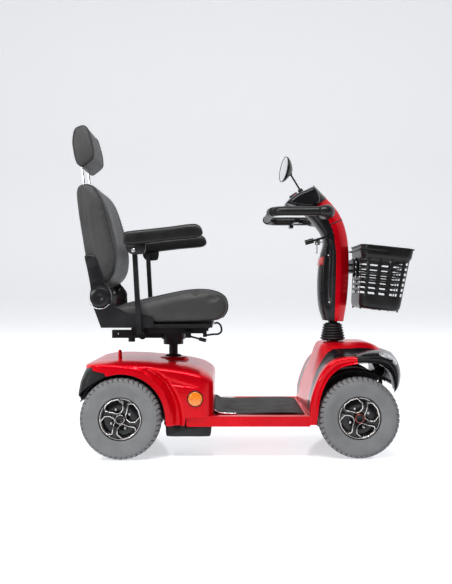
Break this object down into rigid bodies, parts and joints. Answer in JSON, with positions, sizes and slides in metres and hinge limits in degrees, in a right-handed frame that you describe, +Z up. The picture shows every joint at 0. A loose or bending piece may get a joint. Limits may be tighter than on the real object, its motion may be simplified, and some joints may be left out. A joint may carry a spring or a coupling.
{
  "type": "mobility scooter",
  "caption": "Four-wheel mobility scooter with a swivelling, reclining padded seat, flip-up armrests, steering tiller with loop handlebar, mirror and front basket.",
  "frame": {"origin": "on the floor, under the middle of the whole scooter's box", "axes": "+X forwards, +Y to the rider's left, +Z up"},
  "size_m": [1.4608, 0.634, 1.392],
  "materials": {
    "frame_paint": "satin black powder coat",
    "red_gloss": "deep metallic red with clear coat",
    "black_plastic": "fine moulded grain",
    "console_plastic": "satin to gloss black",
    "mat_rubber": "ribbed matt rubber",
    "tyre_grey": "matt grey non-marking rubber",
    "rim_metal": "black with machined edges",
    "small_tyre": "matt",
    "steel": "bright zinc",
    "cast": "dark cast housing",
    "chrome": "bright chrome",
    "vinyl": "charcoal grained vinyl with piping",
    "pad_foam": "matt self-skinned foam",
    "grip_foam": "matt foam",
    "bellows": "semi-gloss rubber bellows",
    "lens": "clear lens",
    "amber": "prismatic reflector",
    "mirror_shell": "gloss black shell round a silvered glass",
    "button_red": "gloss",
    "button_yellow": "gloss"
  },
  "bodies": {
    "frame": {"chassis_frame": "frame_paint", "deck_shell": "red_gloss", "deck_mat": "mat_rubber", "rear_body": "red_gloss", "rear_bumper": "black_plastic", "front_shroud": "red_gloss", "front_bumper": "black_plastic", "front_liner": "black_plastic", "headlamp": "lens", "reflectors": "amber", "battery_box": "black_plastic", "batteries": "black_plastic", "transaxle": "cast"},
    "rear_wheel_left": {"rear_tyre_left": "tyre_grey", "rear_rim_left": "rim_metal"},
    "rear_wheel_right": {"rear_tyre_right": "tyre_grey", "rear_rim_right": "rim_metal"},
    "front_wheel_left": {"front_tyre_left": "tyre_grey", "front_rim_left": "rim_metal"},
    "front_wheel_right": {"front_tyre_right": "tyre_grey", "front_rim_right": "rim_metal"},
    "tip_wheel_left": {"anti_tip_wheel_left": "small_tyre"},
    "tip_wheel_right": {"anti_tip_wheel_right": "small_tyre"},
    "steer_knuckle_left": {"knuckle_left": "steel"},
    "steer_knuckle_right": {"knuckle_right": "steel"},
    "steer_rod_left": {"tie_rod_left": "steel"},
    "steer_rod_right": {"tie_rod_right": "steel"},
    "column": {"steering_stem": "frame_paint", "boot": "bellows"},
    "tiller": {"tiller_frame": "frame_paint", "tiller_cover": "red_gloss", "tiller_sides": "black_plastic", "console": "console_plastic", "handlebar": "frame_paint", "grips": "grip_foam"},
    "speed_paddle": {"wig_wag": "console_plastic"},
    "mirror_arm": {"mirror_stem": "mirror_shell"},
    "mirror": {"mirror_head": "mirror_shell"},
    "ignition_key": {"key": "chrome"},
    "tilt_release": {"tilt_lever": "frame_paint"},
    "dial": {"speed_dial": "console_plastic"},
    "horn": {"horn_button": "button_red"},
    "lamp_switch": {"lamp_button": "button_yellow"},
    "front_basket": {"basket": "black_plastic"},
    "basket_bail": {"basket_handle": "frame_paint"},
    "post": {"seat_post": "steel"},
    "swivel": {"seat_base": "frame_paint"},
    "seat": {"seat_frame": "black_plastic", "seat_cushion": "vinyl"},
    "backrest": {"back_frame": "black_plastic", "back_cushion": "vinyl"},
    "head_support": {"headrest": "vinyl", "headrest_posts": "chrome"},
    "arm_left": {"armrest_arm_left": "frame_paint"},
    "arm_right": {"armrest_arm_right": "frame_paint"},
    "pad_left": {"armrest_pad_left": "pad_foam"},
    "pad_right": {"armrest_pad_right": "pad_foam"},
    "swivel_release": {"swivel_lever": "frame_paint"},
    "slide_release": {"slide_bar": "chrome"},
    "freewheel": {"freewheel_lever": "red_gloss"}
  },
  "joints": [
    {"name": "rear_wheel_left_spin", "type": "hinge", "parent": "frame", "child": "rear_wheel_left", "pos_m": [-0.501, 0.272, 0.165], "axis": [0, 1, 0], "continuous": true},
    {"name": "steer_knuckle_left_turn", "type": "hinge", "parent": "frame", "child": "steer_knuckle_left", "pos_m": [0.467, 0.215, 0.165], "axis": [0, 0, 1], "range_deg": [-30, 30]},
    {"name": "front_wheel_left_spin", "type": "hinge", "parent": "steer_knuckle_left", "child": "front_wheel_left", "pos_m": [0.467, 0.25, 0.165], "axis": [0, 1, 0], "continuous": true},
    {"name": "tip_wheel_left_spin", "type": "hinge", "parent": "frame", "child": "tip_wheel_left", "pos_m": [-0.585, 0.12, 0.052], "axis": [0, 1, 0], "continuous": true},
    {"name": "rear_wheel_right_spin", "type": "hinge", "parent": "frame", "child": "rear_wheel_right", "pos_m": [-0.501, -0.272, 0.165], "axis": [0, 1, 0], "continuous": true},
    {"name": "steer_knuckle_right_turn", "type": "hinge", "parent": "frame", "child": "steer_knuckle_right", "pos_m": [0.467, -0.215, 0.165], "axis": [0, 0, 1], "range_deg": [-30, 30]},
    {"name": "front_wheel_right_spin", "type": "hinge", "parent": "steer_knuckle_right", "child": "front_wheel_right", "pos_m": [0.467, -0.25, 0.165], "axis": [0, 1, 0], "continuous": true},
    {"name": "tip_wheel_right_spin", "type": "hinge", "parent": "frame", "child": "tip_wheel_right", "pos_m": [-0.585, -0.12, 0.052], "axis": [0, 1, 0], "continuous": true},
    {"name": "steering_turn", "type": "hinge", "parent": "frame", "child": "column", "pos_m": [0.398, 0, 0.3], "axis": [0, 0, 1], "range_deg": [-30, 30]},
    {"name": "steer_rod_left_pivot", "type": "hinge", "parent": "column", "child": "steer_rod_left", "pos_m": [0.338, 0, 0.17], "axis": [0, 0, 1], "range_deg": [-30, 30]},
    {"name": "steer_rod_right_pivot", "type": "hinge", "parent": "column", "child": "steer_rod_right", "pos_m": [0.338, 0, 0.17], "axis": [0, 0, 1], "range_deg": [-30, 30]},
    {"name": "tiller_tilt", "type": "hinge", "parent": "column", "child": "tiller", "pos_m": [0.398, 0, 0.5], "axis": [0, 1, 0], "range_deg": [-18, 8], "deforming": ["boot"]},
    {"name": "speed_paddle_pivot", "type": "hinge", "parent": "tiller", "child": "speed_paddle", "pos_m": [0.25, 0, 0.988], "axis": [0, 0, 1], "range_deg": [-15, 15], "stiffness_Nm_per_rad": 0.6},
    {"name": "mirror_arm_turn", "type": "hinge", "parent": "tiller", "child": "mirror_arm", "pos_m": [0.264, 0.08, 1.137], "axis": [0, 0, 1], "range_deg": [-60, 60]},
    {"name": "mirror_head_tilt", "type": "hinge", "parent": "mirror_arm", "child": "mirror", "pos_m": [0.218, 0.08, 1.213], "axis": [0, 1, 0], "range_deg": [-20, 15]},
    {"name": "ignition_key_turn", "type": "hinge", "parent": "tiller", "child": "ignition_key", "pos_m": [0.3605, -0.028, 0.896], "axis": [1, 0, 0], "range_deg": [0, 60]},
    {"name": "tilt_release_pull", "type": "hinge", "parent": "tiller", "child": "tilt_release", "pos_m": [0.378, -0.073, 0.92], "axis": [0, 1, 0], "range_deg": [-18, 0], "stiffness_Nm_per_rad": 1, "springref_deg": 11.46},
    {"name": "speed_dial_turn", "type": "hinge", "parent": "tiller", "child": "dial", "pos_m": [0.2275, 0, 1.1005], "axis": [-0.5225, 0, 0.8526], "range_deg": [0, 270]},
    {"name": "horn_press", "type": "slide", "parent": "tiller", "child": "horn", "axis": [0.5225, 0, -0.8526], "range_m": [0, 0.0015], "stiffness_N_per_m": 400, "springref_m": -0.0005},
    {"name": "lamp_switch_press", "type": "slide", "parent": "tiller", "child": "lamp_switch", "axis": [0.5225, 0, -0.8526], "range_m": [0, 0.0015], "stiffness_N_per_m": 400, "springref_m": -0.0005},
    {"name": "basket_lift", "type": "slide", "parent": "tiller", "child": "front_basket", "axis": [0, 0, 1], "range_m": [0, 0.06]},
    {"name": "basket_bail_swing", "type": "hinge", "parent": "front_basket", "child": "basket_bail", "pos_m": [0.61133, 0, 0.85013], "axis": [0, 1, 0], "range_deg": [0, 95]},
    {"name": "seat_height", "type": "slide", "parent": "frame", "child": "post", "axis": [0, 0, 1], "range_m": [0, 0.06]},
    {"name": "seat_swivel", "type": "hinge", "parent": "post", "child": "swivel", "pos_m": [-0.308, 0, 0.5], "axis": [0, 0, 1], "range_deg": [-90, 90]},
    {"name": "seat_fore_aft", "type": "slide", "parent": "swivel", "child": "seat", "axis": [1, 0, 0], "range_m": [-0.05, 0.05]},
    {"name": "recline", "type": "hinge", "parent": "seat", "child": "backrest", "pos_m": [-0.59, 0, 0.66], "axis": [0, 1, 0], "range_deg": [-20, 60]},
    {"name": "headrest_height", "type": "slide", "parent": "backrest", "child": "head_support", "axis": [-0.1323, 0, 0.9912], "range_m": [-0.03, 0.03]},
    {"name": "arm_left_width", "type": "slide", "parent": "seat", "child": "arm_left", "axis": [0, 1, 0], "range_m": [0, 0.04]},
    {"name": "pad_left_flip", "type": "hinge", "parent": "arm_left", "child": "pad_left", "pos_m": [-0.448, 0.26, 0.845], "axis": [0, 1, 0], "range_deg": [-100, 0]},
    {"name": "arm_right_width", "type": "slide", "parent": "seat", "child": "arm_right", "axis": [0, -1, 0], "range_m": [0, 0.04]},
    {"name": "pad_right_flip", "type": "hinge", "parent": "arm_right", "child": "pad_right", "pos_m": [-0.448, -0.26, 0.845], "axis": [0, 1, 0], "range_deg": [-100, 0]},
    {"name": "swivel_release_pull", "type": "hinge", "parent": "swivel", "child": "swivel_release", "pos_m": [-0.236, -0.123, 0.49], "axis": [0, 1, 0], "range_deg": [-14, 0], "stiffness_Nm_per_rad": 1, "springref_deg": 8.59},
    {"name": "slide_release_pull", "type": "hinge", "parent": "seat", "child": "slide_release", "pos_m": [-0.164, -0.165, 0.494], "axis": [0, 1, 0], "range_deg": [-6, 0], "stiffness_Nm_per_rad": 2, "springref_deg": 5.73},
    {"name": "freewheel_pull", "type": "hinge", "parent": "frame", "child": "freewheel", "pos_m": [-0.523, -0.15, 0.383], "axis": [0, 1, 0], "range_deg": [0, 25]}
  ],
  "couplings": [
    {"joint": "steer_knuckle_left_turn", "follows": "steering_turn", "ratio": 1},
    {"joint": "steer_knuckle_right_turn", "follows": "steering_turn", "ratio": 1},
    {"joint": "steer_rod_left_pivot", "follows": "steering_turn", "ratio": -1},
    {"joint": "steer_rod_right_pivot", "follows": "steering_turn", "ratio": -1}
  ]
}
